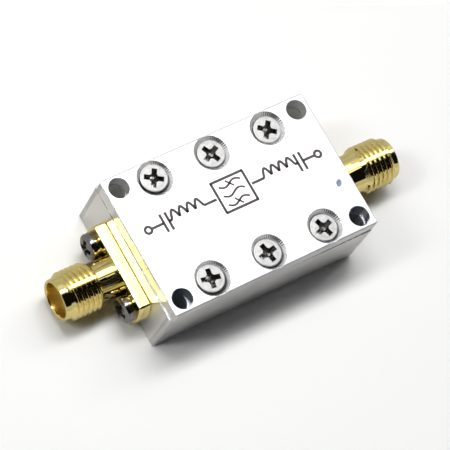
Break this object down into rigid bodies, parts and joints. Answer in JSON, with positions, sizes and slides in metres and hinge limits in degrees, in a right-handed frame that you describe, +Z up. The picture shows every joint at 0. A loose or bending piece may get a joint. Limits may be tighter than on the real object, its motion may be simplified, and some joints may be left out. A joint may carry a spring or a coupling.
{
  "type": "coaxial band-pass filter",
  "caption": "Small machined radio-frequency filter housing with a screwed lid, corner mounting holes and a threaded coaxial jack on each end.",
  "frame": {"origin": "centre of the housing's underside, which is the bottom centre of the whole part", "axes": "+X towards the output jack, +Z up out of the lid, +Y towards the long side away from the jacks' offset"},
  "size_m": [0.0494, 0.0195, 0.0109],
  "materials": {
    "housing": "fine-milled and left bare",
    "gold": "turned, gold plated, bright",
    "screws": "nickel plated, semi-bright",
    "insulator": "waxy fluoropolymer",
    "board": "woven glass laminate, uncoated",
    "copper": "copper, thinly tinned on the board",
    "ceramic": "fired and unglazed",
    "solder": "tin solder, bright"
  },
  "bodies": {
    "root": {"case": "housing", "lid": "housing", "lid_screws": "screws", "input_jack": "gold", "output_jack": "gold", "input_insulator": "insulator", "output_insulator": "insulator", "input_contact": "gold", "output_contact": "gold", "input_flange_screws": "screws", "output_flange_screws": "screws", "circuit_board": "board", "ground_copper": "copper", "signal_tracks": "copper", "board_screws": "screws", "capacitor_bodies": "ceramic", "capacitor_ends": "solder", "input_coil": "copper", "output_coil": "copper", "input_solder": "solder", "output_solder": "solder"}
  },
  "joints": []
}
